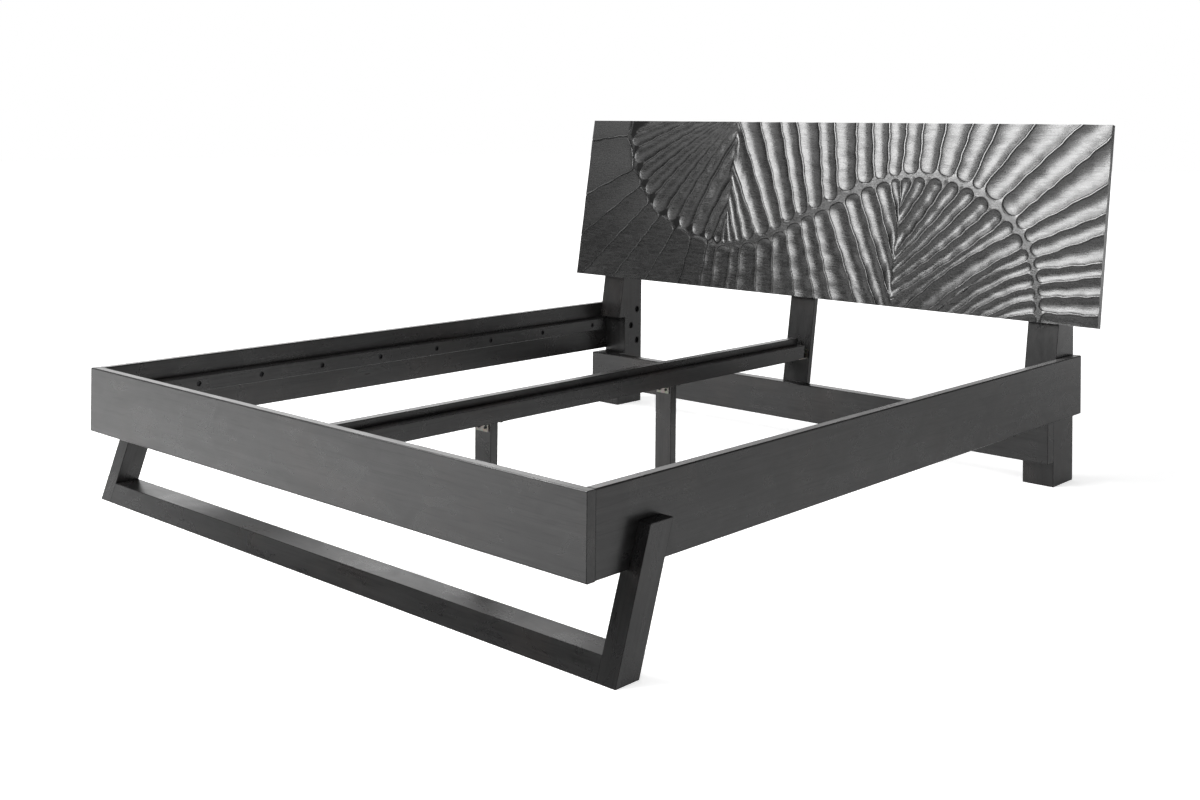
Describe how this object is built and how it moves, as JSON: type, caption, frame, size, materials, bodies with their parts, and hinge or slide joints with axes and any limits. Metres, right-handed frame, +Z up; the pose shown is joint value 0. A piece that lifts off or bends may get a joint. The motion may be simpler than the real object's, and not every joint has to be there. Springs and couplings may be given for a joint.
{
  "type": "double bed frame",
  "caption": "Low double bed frame in black stained wood with a wide leaning carved headboard, a slanted floor frame at the foot and a centre support beam.",
  "frame": {"origin": "on the floor, at the middle of the outline of the bed seen from above", "axes": "+X to the right of someone at the foot who looks at the headboard, +Y from the foot to the head, +Z up"},
  "size_m": [2.075, 2.1867, 1.0741],
  "materials": {
    "black_wood": "black stained, satin lacquer",
    "carved_wood": "black stained, satin lacquer over gouged flutes",
    "zinc_plate": "yellow zinc plated",
    "zinc_screw": "zinc plated",
    "dark_screw": "blackened steel",
    "dowel_wood": "plain beech",
    "insert_metal": "plain"
  },
  "bodies": {
    "root": {"footboard": "black_wood", "rail_left": "black_wood", "rail_right": "black_wood", "ledge_left": "black_wood", "ledge_right": "black_wood", "ledge_screws_left": "dark_screw", "ledge_screws_right": "dark_screw", "beam_plank": "black_wood", "beam_ledge_left": "black_wood", "beam_ledge_right": "black_wood", "beam_screws": "dark_screw", "beam_bracket_head": "zinc_plate", "beam_bracket_foot": "zinc_plate", "beam_bracket_screws_head": "zinc_screw", "beam_bracket_screws_foot": "zinc_screw", "centre_leg_foot": "black_wood", "centre_leg_head": "black_wood", "leg_brackets_foot": "zinc_plate", "leg_brackets_head": "zinc_plate", "leg_bracket_screws_foot": "zinc_screw", "leg_bracket_screws_head": "zinc_screw", "post_left": "black_wood", "post_right": "black_wood", "post_bolts_left": "dark_screw", "post_bolts_right": "dark_screw", "rail_inserts_left": "insert_metal", "rail_inserts_right": "insert_metal", "cross_rail": "black_wood", "cross_dowels_left": "dowel_wood", "cross_dowels_right": "dowel_wood", "middle_post": "black_wood", "headboard": "carved_wood", "headboard_screws_left": "dark_screw", "headboard_screws_right": "dark_screw", "headboard_screws_middle": "dark_screw", "foot_leg_left": "black_wood", "foot_leg_right": "black_wood", "foot_bar": "black_wood", "foot_dowels_left": "dowel_wood", "foot_dowels_right": "dowel_wood", "foot_bolts_left": "zinc_screw", "foot_bolts_right": "zinc_screw", "corner_bracket_left": "zinc_plate", "corner_bracket_right": "zinc_plate", "corner_screws_left": "zinc_screw", "corner_screws_right": "zinc_screw"}
  },
  "joints": []
}
